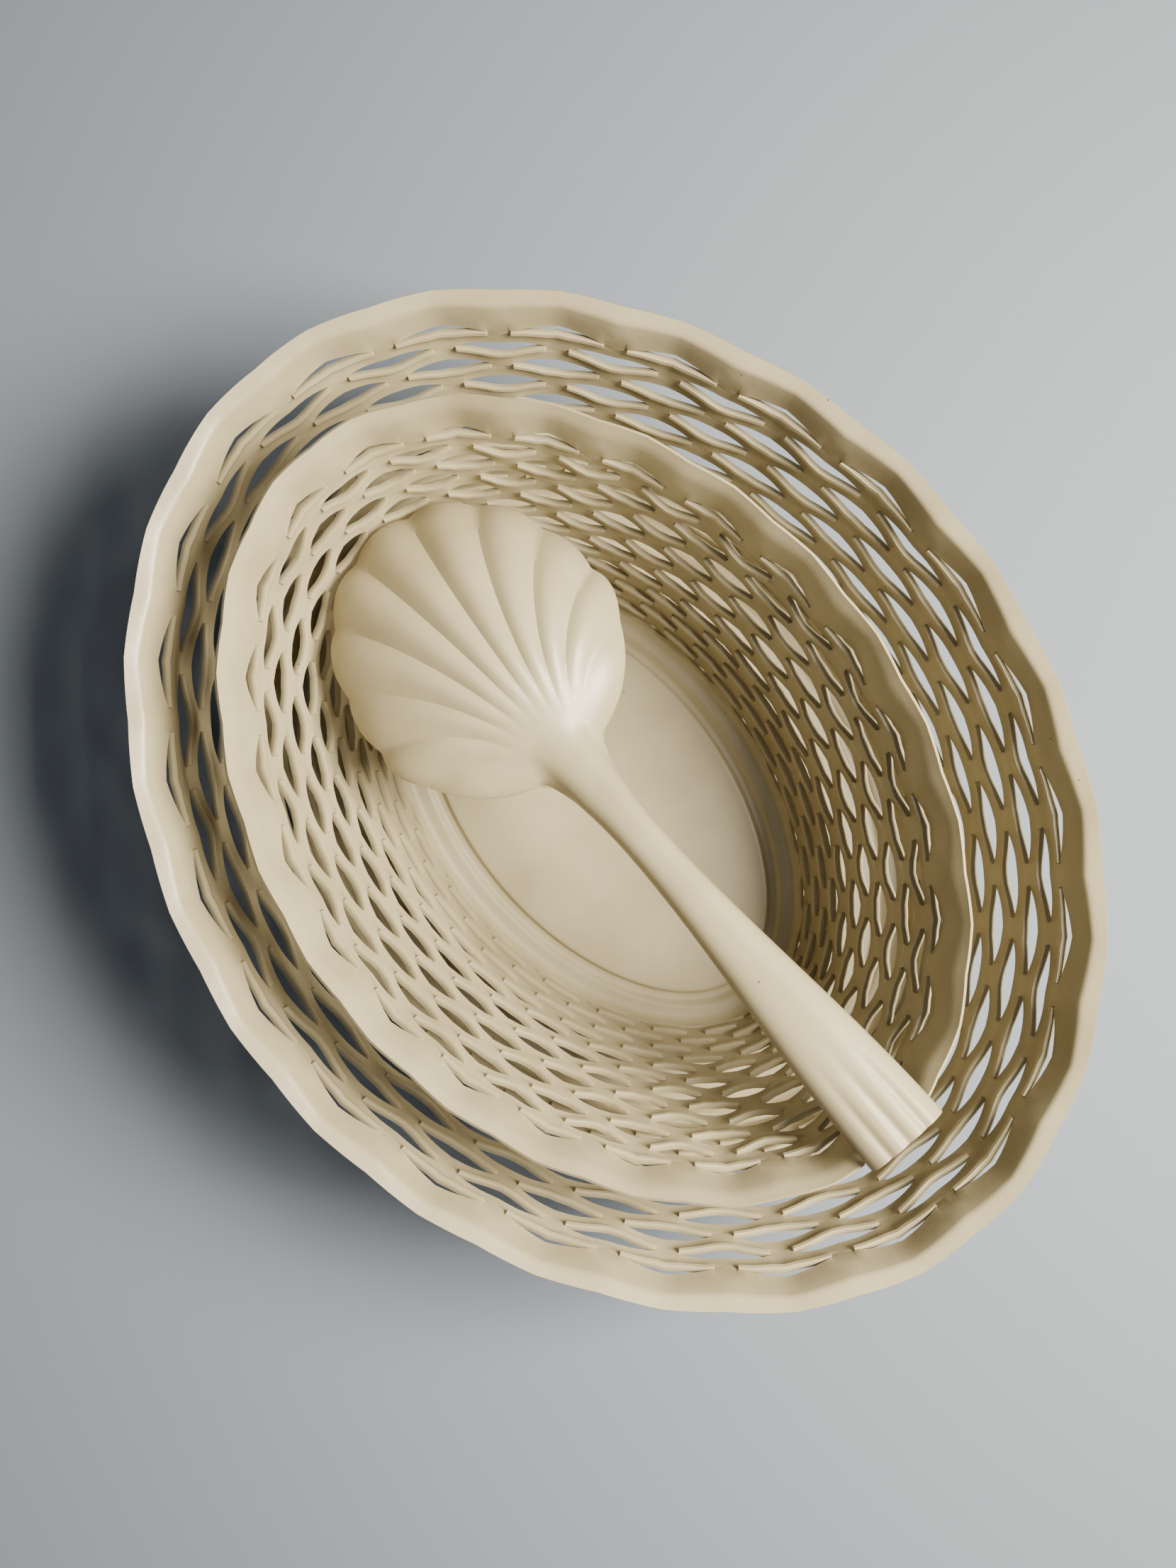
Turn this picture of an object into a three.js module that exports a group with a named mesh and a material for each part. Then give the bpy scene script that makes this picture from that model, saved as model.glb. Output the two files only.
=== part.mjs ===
// A curd draining set in powder-coated sheet steel: a large oval basket, a smaller oval basket
// that stands in it, and a shell-shaped ladle that lies across the smaller one, hollow side down.
// Millimetres, +Z up. The origin is the centre of the large basket's underside, with the long axis
// of the ovals along X.

import * as THREE from 'three';
import { mergeVertices } from 'three/addons/utils/BufferGeometryUtils.js';

// ---- driving dimensions -------------------------------------------------------------------

const SHEET = 1.0; // steel with its coat

const OUTER_BASKET = {
  length: 311,
  width: 245,
  height: 88,
  flareRun: 3.7, // the rim's edge strip, outside the straight wall
  flareDrop: 1.8,
  bandHeight: 9.0, // plain wall between the edge strip and the first ring of slits
  wallLean: 0.36, // run for each millimetre of drop
  slitRings: 12,
};

const INNER_BASKET = {
  length: 242,
  width: 174,
  height: 96.5,
  flareRun: 2.4,
  flareDrop: 3.2,
  bandHeight: 9.8,
  wallLean: 0.316,
  slitRings: 13,
};

const SLITS_PER_RING = 24;
const BOND_LENGTH = 6.4; // stays joined between two slits of a ring
const FLANK_SPREAD = 0.5; // how much longer slits stay on the flanks, by the inset's share of the half width
const SLIT_OPENING = 4.0; // a drawn slit's height in the middle of the wall
const LEAST_OPENING = 2.2; // slits that open less stay uncut in these solids
const OPENING_LEAD = 0.12; // the opening follows a half sine along the wall, and starts this early
const OPENING_SPAN = 0.84; // and ends after this share of the wall

const FLANK_EASE = 0.0125; // how much flatter the flanks are than an ellipse
const FACET_DEPTH = 0.45; // the rim's pleats, each way, from bonds to slit middles

const CORNER_RADIUS = 4.5; // between the wall and the foot
const LEDGE = 2.2; // flat between the corner and the foot ring
const FOOT_DEPTH = 1.5; // how far the foot ring stands below the floor
const FOOT_SLOPE = 3.0; // width of the ring's outer flank
const FOOT_FLAT = 1.4; // width of the flat that the basket stands on
const FOOT_STEP = 1.6; // width of the ring's inner flank

const NEST_GAP = 0.3; // clearance where one piece rests on another
const NEST_SHIFT = new THREE.Vector2(-3.3, -4.3); // how far off centre the small basket stands
const NEST_TURN = THREE.MathUtils.degToRad(-1);

const SHELL_LENGTH = 94; // from the hinge of the ribs to the tip
const SHELL_WIDTH = 82;
const SHELL_RISE = 18;
const SHELL_ROUNDING = 0.72;
const LOBES = 11;
const LOBE_ANGLE = THREE.MathUtils.degToRad(13);
const SHELL_SPREAD = THREE.MathUtils.degToRad(86); // from the axis to each side of the neck
const LOBE_NOTCH = 2.6;
const SIDE_SWELL = 0.13; // how much further than an ellipse the lobes beside the neck reach
const SWELL_RISE = [35, 62].map(THREE.MathUtils.degToRad); // the swell grows between these bearings
const SWELL_FALL = [74, 86].map(THREE.MathUtils.degToRad); // and dies out between these
const RIB_RELIEF = 2.0;
const NECK_RADIUS = 12;
const NECK_LENGTH = 13; // from the hinge of the ribs to the start of the handle
const WAIST = 31; // from the hinge of the ribs to the handle's narrowest place
const HANDLE_WIDTH_START = 14.2;
const HANDLE_WIDTH_WAIST = 12.1;
const HANDLE_WIDTH_END = 24.2;
const HANDLE_RISE = 6.5;
const HANDLE_SQUARENESS = 2.6;
const FLUTES = 4;
const FLUTE_LENGTH = 36;
const FLUTE_DEPTH = 0.9;
const HANDLE_OVERHANG = 1.2; // past the rim that carries it
const LADLE_PITCH = THREE.MathUtils.degToRad(12.2);
const LADLE_YAW = THREE.MathUtils.degToRad(1.43);
const LADLE_AXIS_OFFSET = 2.6; // of its axis from the small basket's centre, to the +Y side
const LADLE_WALL_GAP = 2.2; // between the tip and the middle of the wall's sheet, for the slits' lips

const CREAM = new THREE.Color(0xe3d8bd);

// ---- sheet metal ----------------------------------------------------------------------------

/** A corner of a sheet: a point of its middle surface and the direction through its thickness. */
class Corner {
  constructor(point, through) {
    this.point = point;
    this.through = through;
  }

  /** The corner's point on one face of the sheet, +1 or -1. */
  face(sign) {
    return this.point.clone().addScaledVector(this.through, (sign * SHEET) / 2);
  }
}

/** Collects the faces of a sheet of even thickness from panels of its middle surface. */
class SheetBuilder {
  constructor() {
    this.positions = [];
  }

  triangle(...points) {
    for (const p of points) this.positions.push(p.x, p.y, p.z);
  }

  quad(a, b, c, d) {
    this.triangle(a, b, c);
    this.triangle(a, c, d);
  }

  /** A four-sided panel, its corners anticlockwise as seen from the +1 face. */
  panel(a, b, c, d) {
    this.quad(a.face(1), b.face(1), c.face(1), d.face(1));
    this.quad(d.face(-1), c.face(-1), b.face(-1), a.face(-1));
  }

  /** A three-sided panel. */
  corner(a, b, c) {
    this.triangle(a.face(1), b.face(1), c.face(1));
    this.triangle(c.face(-1), b.face(-1), a.face(-1));
  }

  /** Closes the sheet's thickness along a free edge that runs a to b with its panel on the left. */
  edge(a, b) {
    this.quad(b.face(1), a.face(1), a.face(-1), b.face(-1));
  }

  geometry() {
    const made = new THREE.BufferGeometry();
    made.setAttribute('position', new THREE.Float32BufferAttribute(this.positions, 3));
    const merged = mergeVertices(made, 1e-4);
    merged.computeVertexNormals();
    return merged;
  }
}

// ---- baskets --------------------------------------------------------------------------------

/** How far a basket's oval lies inside an ellipse, by the ellipse's own angle. */
const ovalEase = (angle) => 1 - FLANK_EASE * Math.sin(2 * angle) ** 2;

/** The plan of a basket at one level: an oval a little flatter on its flanks than an ellipse. */
class Oval extends THREE.Curve {
  constructor(halfLength, halfWidth) {
    super();
    this.halfLength = halfLength;
    this.halfWidth = halfWidth;
    this.arcLengthDivisions = 720;
  }

  getPoint(t) {
    const angle = 2 * Math.PI * t;
    const ease = ovalEase(angle);
    return new THREE.Vector3(
      this.halfLength * Math.cos(angle) * ease,
      this.halfWidth * Math.sin(angle) * ease,
      0,
    );
  }

  /** The outward direction in plan at one of the oval's points. */
  outward(p) {
    return new THREE.Vector3(p.x / this.halfLength ** 2, p.y / this.halfWidth ** 2, 0).normalize();
  }
}

/** A basket drawn from one sheet, with rings of slits in its wall. */
class Basket {
  constructor(size) {
    this.size = size;
    const { flareRun, flareDrop, bandHeight, wallLean, height } = size;
    this.lean = Math.atan(wallLean);
    this.firstRing = {
      inset: flareRun + bandHeight * wallLean,
      z: height - flareDrop - bandHeight,
    };
    // The wall turns into the foot round a corner that is tangent to both.
    this.footZ = SHEET / 2;
    this.floorZ = this.footZ + FOOT_DEPTH;
    const cornerTurn = Math.PI / 2 - this.lean;
    this.cornerLength = CORNER_RADIUS * Math.tan(cornerTurn / 2);
    this.wallLength = (this.firstRing.z - this.floorZ) / Math.cos(this.lean) - this.cornerLength;
    this.rings = this.placeRings();
  }

  /** How far the slits of a ring open, by the ring's share of the way down. */
  opening(share) {
    const phase = (Math.PI * (share + OPENING_LEAD)) / OPENING_SPAN;
    return phase < Math.PI ? SLIT_OPENING * Math.sin(phase) : 0;
  }

  /** Each ring's distance down the wall. The strands are equal and the openings take the rest. */
  placeRings() {
    const count = this.size.slitRings;
    const openings = Array.from({ length: count }, (_, i) => this.opening(i / (count - 1)));
    const opened = openings.map((o, i) => (i ? (o + openings[i - 1]) / 4 : 0));
    const strand = (this.wallLength - opened.reduce((a, b) => a + b)) / (count - 1);
    let down = 0;
    return openings.map((opening, i) => {
      down += i ? strand + opened[i] : 0;
      return { down, opening, index: i };
    });
  }

  /** A place on the straight wall, by its distance down from the first ring. */
  onWall(down) {
    return {
      inset: this.firstRing.inset + down * Math.sin(this.lean),
      z: this.firstRing.z - down * Math.cos(this.lean),
      tilt: this.lean,
    };
  }

  /** The profile's other places: the rim above the wall, and the foot inside it. */
  rimEdge() {
    return { inset: 0, z: this.size.height, tilt: this.flareTilt() };
  }

  rimCrease() {
    const { flareRun, flareDrop, height } = this.size;
    return { inset: flareRun, z: height - flareDrop, tilt: (this.flareTilt() + this.lean) / 2 };
  }

  flareTilt() {
    return Math.atan2(this.size.flareRun, this.size.flareDrop);
  }

  foot() {
    const end = this.onWall(this.wallLength);
    const flat = end.inset + this.cornerLength * (1 + Math.sin(this.lean));
    const ring = flat + LEDGE + FOOT_SLOPE;
    const tilt = Math.PI / 2;
    return [
      { z: this.floorZ, tilt, inset: flat },
      { z: this.floorZ, tilt, inset: flat + LEDGE },
      { z: this.footZ, tilt, inset: ring },
      { z: this.footZ, tilt, inset: ring + FOOT_FLAT },
      { z: this.floorZ, tilt, inset: ring + FOOT_FLAT + FOOT_STEP },
    ];
  }

  /** The plan's oval in the middle of the sheet, at an inset from the rim. */
  oval(inset) {
    return new Oval((this.size.length - SHEET) / 2 - inset, (this.size.width - SHEET) / 2 - inset);
  }

  /** A bond's share of the pitch at an inset. Inside the wall it stays as it is at the wall's end. */
  bondShare(inset) {
    const wallEnd = this.onWall(this.wallLength).inset;
    return (BOND_LENGTH * SLITS_PER_RING) / this.oval(Math.min(inset, wallEnd)).getLength();
  }

  /** The four stations of each pitch are the ends of this ring's slits and of the next ring's. */
  stations(bond) {
    const shares = [bond / 2, 0.5 - bond / 2, 0.5 + bond / 2, 1 - bond / 2];
    return Array.from({ length: SLITS_PER_RING }, (_, i) => shares.map((s) => i + s)).flat();
  }

  /** A station's share of the way round. Further in, the pitch stays longer on the flanks. */
  wayRound(station, inset) {
    const share = station / SLITS_PER_RING;
    const spread = (FLANK_SPREAD * inset) / (this.size.width / 2);
    return share - (spread * Math.sin(4 * Math.PI * share)) / (4 * Math.PI);
  }

  /** How far a station is from the nearest slit's middle, in pitches: rings are staggered. */
  fromSlit(station, ring) {
    const phase = ring % 2 ? station : station + 0.5;
    return Math.abs(phase - Math.round(phase));
  }

  /** One ring of corners at a place of the profile, shifted down the wall by shift(station). */
  ring(place, shift = () => 0) {
    return this.stations(this.bondShare(place.inset)).map((station) => {
      const down = shift(station);
      const inset = place.inset + down * Math.sin(place.tilt);
      const z = place.z - down * Math.cos(place.tilt);
      const oval = this.oval(inset);
      const point = oval.getPointAt(this.wayRound(station, inset));
      const outward = oval.outward(point);
      const pleat = 1 - 4 * this.fromSlit(station, 0);
      const depth = FACET_DEPTH * pleat * THREE.MathUtils.clamp(z / this.size.height, 0, 1);
      point.addScaledVector(outward, depth).setZ(z);
      const through = outward.multiplyScalar(-Math.cos(place.tilt)).setZ(Math.sin(place.tilt));
      return new Corner(point, through);
    });
  }

  /** The two edges of a ring's slits. They coincide along the bonds. */
  slitEdges(ring) {
    const place = this.onWall(ring.down);
    const bond = this.bondShare(place.inset);
    const open = (station) => this.fromSlit(station, ring.index) < bond / 2 + 1e-6;
    const half = (station) => (open(station) ? ring.opening / 2 : 0);
    return {
      stations: this.stations(bond),
      upper: this.ring(place, (station) => -half(station)),
      lower: this.ring(place, half),
      cut: (station) => this.fromSlit(station, ring.index) < 0.5 - bond / 2 - 1e-6,
    };
  }

  geometry() {
    const sheet = new SheetBuilder();
    const count = 4 * SLITS_PER_RING;
    const strip = (above, below) => {
      for (let i = 0; i < count; i++) {
        const j = (i + 1) % count;
        sheet.panel(above[i], above[j], below[j], below[i]);
      }
    };
    const slits = this.rings.filter((r) => r.opening >= LEAST_OPENING).map((r) => this.slitEdges(r));

    const rim = this.ring(this.rimEdge());
    rim.forEach((corner, i) => sheet.edge(corner, rim[(i + 1) % count]));
    const crease = this.ring(this.rimCrease());
    strip(rim, crease);

    let above = crease;
    for (const { stations, upper, lower, cut } of slits) {
      strip(above, upper);
      for (let i = 0; i < count; i++) {
        const j = (i + 1) % count;
        const middle = (stations[i] + stations[j] + (j ? 0 : SLITS_PER_RING)) / 2;
        if (!cut(middle)) continue;
        sheet.edge(upper[j], upper[i]);
        sheet.edge(lower[i], lower[j]);
      }
      above = lower;
    }

    for (const place of [this.onWall(this.wallLength), ...this.foot()]) {
      const below = this.ring(place);
      strip(above, below);
      above = below;
    }
    const centre = new Corner(new THREE.Vector3(0, 0, this.floorZ), new THREE.Vector3(0, 0, 1));
    above.forEach((corner, i) => sheet.corner(corner, above[(i + 1) % count], centre));
    return sheet.geometry();
  }

  /** Half the plan's length and width at a height, in the middle of the wall's sheet. */
  halfPlan(z) {
    const inset = this.firstRing.inset + (this.firstRing.z - z) * this.size.wallLean;
    return new THREE.Vector2(this.size.length / 2 - inset, this.size.width / 2 - inset);
  }
}

// ---- ladle ----------------------------------------------------------------------------------

/**
 * The ladle's middle surface in its own frame: X from the ribs' hinge along the handle, Z up from
 * the plane of its edges. Its columns are the crests and grooves of the shell's ribs. They run
 * from the shell's edge through the neck and on along the handle.
 */
class Ladle {
  constructor() {
    this.columns = 2 * LOBES;
    this.shellRows = 6;
    this.neckRows = 2;
    this.handleRows = 5;
  }

  /** A column's place among the lobes: whole numbers are crests, halves are grooves. */
  lobe(column) {
    return column / 2 - LOBES / 2;
  }

  /** The direction in which a column leaves the hinge. The outermost two lie along the neck. */
  bearing(column) {
    const lobe = this.lobe(column);
    const last = LOBES / 2;
    const beyond = Math.max(0, Math.abs(lobe) - (last - 1));
    const spare = SHELL_SPREAD - LOBE_ANGLE * last;
    return Math.sign(lobe) * (Math.abs(lobe) * LOBE_ANGLE + beyond * spare);
  }

  /** How much further than the ellipse the shell reaches along a column. */
  swell(column) {
    const bearing = Math.abs(this.bearing(column));
    const { smoothstep } = THREE.MathUtils;
    return 1 + SIDE_SWELL * smoothstep(bearing, ...SWELL_RISE) * (1 - smoothstep(bearing, ...SWELL_FALL));
  }

  /** From the hinge to the shell's edge: an ellipse through the hinge, notched at each groove. */
  reach(column) {
    const bearing = this.bearing(column);
    const [c, s] = [Math.cos(bearing), Math.sin(bearing)];
    const ellipse = (SHELL_LENGTH * c) / (c * c + (SHELL_LENGTH / SHELL_WIDTH) ** 2 * s * s);
    const notch = column % 2 || column === 0 || column === this.columns ? 0 : LOBE_NOTCH;
    return Math.max(ellipse * this.swell(column) - notch, NECK_RADIUS + 0.5);
  }

  dome(x, y) {
    const along = (x + SHELL_LENGTH / 2) / (SHELL_LENGTH / 2);
    const across = y / (SHELL_WIDTH / 2);
    const inside = Math.max(0, 1 - along * along - across * across);
    return SHELL_RISE * inside ** SHELL_ROUNDING;
  }

  shellPoint(column, share) {
    const bearing = this.bearing(column);
    const reach = this.reach(column);
    const r = reach + (NECK_RADIUS - reach) * share;
    const [x, y] = [-r * Math.cos(bearing), r * Math.sin(bearing)];
    const relief = column % 2 ? RIB_RELIEF : -RIB_RELIEF;
    const spread = (r - NECK_RADIUS) / (SHELL_LENGTH - NECK_RADIUS);
    const swell = this.swell(column);
    const ribs = ((relief + RIB_RELIEF) * spread) / 2;
    return new THREE.Vector3(x, y, this.dome(x / swell, y / swell) + ribs);
  }

  handleWidth(x, length) {
    if (x < WAIST) {
      const share = (WAIST - x) / (WAIST - NECK_LENGTH);
      return HANDLE_WIDTH_WAIST + (HANDLE_WIDTH_START - HANDLE_WIDTH_WAIST) * share ** 2;
    }
    const share = THREE.MathUtils.smoothstep(x, WAIST, length);
    return HANDLE_WIDTH_WAIST + (HANDLE_WIDTH_END - HANDLE_WIDTH_WAIST) * share;
  }

  handlePoint(column, x, length) {
    const angle = Math.PI * (column / this.columns - 0.5);
    const power = 2 / HANDLE_SQUARENESS;
    const across = Math.sign(angle) * Math.abs(Math.sin(angle)) ** power;
    const up = Math.max(0, Math.cos(angle)) ** power;
    const ramp = THREE.MathUtils.smoothstep(x, length - FLUTE_LENGTH, length);
    const groove = Math.abs(Math.cos((Math.PI * FLUTES * (across + 1)) / 2)) ** 2;
    const y = (across * (this.handleWidth(x, length) - SHEET)) / 2;
    return new THREE.Vector3(x, y, up * (HANDLE_RISE - FLUTE_DEPTH * ramp * groove));
  }

  /** All rows of points, from the shell's edge to the handle's end. */
  surface(length) {
    const columns = Array.from({ length: this.columns + 1 }, (_, c) => c);
    const rows = [];
    for (let i = 0; i <= this.shellRows; i++) {
      const share = (i / this.shellRows) ** 1.3;
      rows.push(columns.map((c) => this.shellPoint(c, share)));
    }
    for (let i = 1; i <= this.neckRows; i++) {
      const share = i / this.neckRows;
      rows.push(columns.map((c) => {
        const start = this.shellPoint(c, 1);
        return start.lerp(this.handlePoint(c, NECK_LENGTH, length), share);
      }));
    }
    for (let i = 1; i <= this.handleRows; i++) {
      const x = NECK_LENGTH + ((length - NECK_LENGTH) * i) / this.handleRows;
      rows.push(columns.map((c) => this.handlePoint(c, x, length)));
    }
    return rows;
  }

  geometry(length) {
    const rows = this.surface(length);
    const corners = rows.map((row, i) => row.map((p, j) => {
      const ahead = (rows[i + 1] ?? row)[j];
      const behind = (rows[i - 1] ?? row)[j];
      const left = row[j + 1] ?? p;
      const right = row[j - 1] ?? p;
      const through = ahead.clone().sub(behind).cross(left.clone().sub(right)).normalize();
      return new Corner(p, through);
    }));
    const sheet = new SheetBuilder();
    const [lastRow, lastColumn] = [rows.length - 1, this.columns];
    for (let i = 0; i < lastRow; i++) {
      for (let j = 0; j < lastColumn; j++) {
        sheet.panel(corners[i][j], corners[i + 1][j], corners[i + 1][j + 1], corners[i][j + 1]);
      }
      sheet.edge(corners[i][0], corners[i + 1][0]);
      sheet.edge(corners[i + 1][lastColumn], corners[i][lastColumn]);
    }
    for (let j = 0; j < lastColumn; j++) {
      sheet.edge(corners[0][j + 1], corners[0][j]);
      sheet.edge(corners[lastRow][j], corners[lastRow][j + 1]);
    }
    return sheet.geometry();
  }
}

// ---- assembly -------------------------------------------------------------------------------

const outer = new Basket(OUTER_BASKET);
const inner = new Basket(INNER_BASKET);
const ladle = new Ladle();

const coat = () => new THREE.MeshStandardMaterial({ color: CREAM, roughness: 0.5, metalness: 0 });

const outerMesh = new THREE.Mesh(outer.geometry(), coat());
outerMesh.name = 'outer_basket';

const innerMesh = new THREE.Mesh(inner.geometry(), coat());
innerMesh.name = 'inner_basket';

/**
 * Where the ladle lies, in the small basket's frame. The handle's edges rest on the rim at the +X
 * end, and the shell is pushed back until its edge meets the wall at the -X end.
 */
function seatLadle() {
  const rimX = (INNER_BASKET.length - SHEET) / 2;
  const rimTop = INNER_BASKET.height + (SHEET / 2) * Math.sin(inner.flareTilt());
  const rimFront = inner.oval(0).getPoints(720).filter((p) => p.x > 0);
  const yaw = LADLE_YAW - NEST_TURN;
  const turn = new THREE.Euler(0, -LADLE_PITCH, yaw, 'ZYX');
  const slope = Math.tan(LADLE_PITCH);
  // The rim curves in under the handle's far side, where the sloping handle is lower.
  const place = (hingeX) => {
    const across = LADLE_AXIS_OFFSET + (rimX - hingeX) * Math.tan(yaw);
    const under = rimFront.filter((p) => Math.abs(p.y - across) <= HANDLE_WIDTH_END / 2);
    const nearest = Math.min(...under.map((p) => p.x));
    const z = rimTop + NEST_GAP / Math.cos(LADLE_PITCH) - (nearest - hingeX) * slope;
    return new THREE.Vector3(hingeX, LADLE_AXIS_OFFSET, z);
  };
  const edge = Array.from({ length: ladle.columns + 1 }, (_, c) => ladle.shellPoint(c, 0));
  const clears = (hingeX) => edge.every((p) => {
    const at = p.clone().applyEuler(turn).add(place(hingeX));
    const half = inner.halfPlan(at.z).subScalar(LADLE_WALL_GAP);
    const [x, y] = [at.x / half.x, at.y / half.y];
    return Math.hypot(x, y) <= ovalEase(Math.atan2(y, x));
  });
  let [free, blocked] = [rimX - SHELL_LENGTH / 2, -rimX];
  for (let i = 0; i < 40; i++) {
    const middle = (free + blocked) / 2;
    if (clears(middle)) free = middle;
    else blocked = middle;
  }
  const length = (rimX + HANDLE_OVERHANG - free) / Math.cos(LADLE_PITCH);
  return { turn, position: place(free), length };
}

const seat = seatLadle();
const ladleMesh = new THREE.Mesh(ladle.geometry(seat.length), coat());
ladleMesh.name = 'shell_ladle';
ladleMesh.rotation.copy(seat.turn);
ladleMesh.position.copy(seat.position);

const nested = new THREE.Group();
nested.position.set(NEST_SHIFT.x, NEST_SHIFT.y, outer.floorZ + SHEET / 2 + NEST_GAP);
nested.rotation.z = NEST_TURN;
nested.add(innerMesh, ladleMesh);

const drainingSet = new THREE.Group();
drainingSet.add(outerMesh, nested);

export default drainingSet;
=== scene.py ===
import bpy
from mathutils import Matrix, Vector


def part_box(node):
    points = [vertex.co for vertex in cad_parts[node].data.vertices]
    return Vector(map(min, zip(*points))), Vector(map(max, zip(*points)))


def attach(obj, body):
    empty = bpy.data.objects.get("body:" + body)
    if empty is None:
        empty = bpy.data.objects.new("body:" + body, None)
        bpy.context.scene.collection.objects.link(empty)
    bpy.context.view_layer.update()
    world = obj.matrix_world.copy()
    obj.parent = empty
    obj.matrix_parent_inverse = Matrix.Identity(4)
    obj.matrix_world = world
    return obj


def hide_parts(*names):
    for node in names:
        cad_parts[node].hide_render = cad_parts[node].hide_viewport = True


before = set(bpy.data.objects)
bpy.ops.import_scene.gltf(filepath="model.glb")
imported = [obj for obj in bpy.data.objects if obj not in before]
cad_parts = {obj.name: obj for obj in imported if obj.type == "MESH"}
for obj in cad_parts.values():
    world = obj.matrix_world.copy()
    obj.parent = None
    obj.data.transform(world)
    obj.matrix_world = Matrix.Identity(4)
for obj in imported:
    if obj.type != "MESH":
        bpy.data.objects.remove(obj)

"""A curd draining set in cream powder-coated sheet steel: two nested oval baskets and a ladle.

Each basket is pressed from one blank. The blank is slit in staggered rings, the wall is drawn so
that the slits open, and the inboard side of every slit is folded to a narrow lip. The ladle is a
ribbed shell with a channel handle, and lies across the small basket with its hollow side down.
Lengths in the size classes are in millimetres; meshes and the frame are in metres.
"""

import logging
import math
from dataclasses import dataclass, field
from enum import Enum

import bmesh
import bpy
import numpy as np
from mathutils import Matrix, Vector

log = logging.getLogger("draining_set")
MM = 0.001


class Body(Enum):
    """The bodies that the pieces ride on, by the frame's names."""

    OUTER_BASKET = "outer_basket"
    INNER_BASKET = "inner_basket"
    LADLE = "ladle"


class Slot(Enum):
    """The record's material slots."""

    OUTER_BASKET = "outer_basket_coat"
    INNER_BASKET = "inner_basket_coat"
    LADLE = "ladle_coat"


# ---- materials ----------------------------------------------------------------------------------


def linear(hex_colour: str) -> tuple[float, float, float, float]:
    """Turns an sRGB hex colour to linear values.

    Args:
        hex_colour: Six hex digits, such as "e6dcc2".

    Returns:
        Red, green, blue and an alpha of one.
    """
    parts = [int(hex_colour[i : i + 2], 16) / 255 for i in (0, 2, 4)]
    scaled = [c / 12.92 if c <= 0.04045 else ((c + 0.055) / 1.055) ** 2.4 for c in parts]
    return (*scaled, 1.0)


def add_node(
    tree: bpy.types.NodeTree,
    kind: str,
    settings: dict | None = None,
    links: dict | None = None,
) -> bpy.types.Node:
    """Adds one node to a tree.

    Args:
        tree: The node tree.
        kind: The node's type name.
        settings: Socket values by name or index, and node attributes by a name that starts
            with a dot.
        links: Output sockets to link, by the name or index of the input that takes each.

    Returns:
        The new node.
    """
    node = tree.nodes.new(kind)
    for key, value in (settings or {}).items():
        if isinstance(key, str) and key.startswith("."):
            setattr(node, key[1:], value)
        else:
            node.inputs[key].default_value = value
    for key, socket in (links or {}).items():
        tree.links.new(socket, node.inputs[key])
    return node


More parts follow.
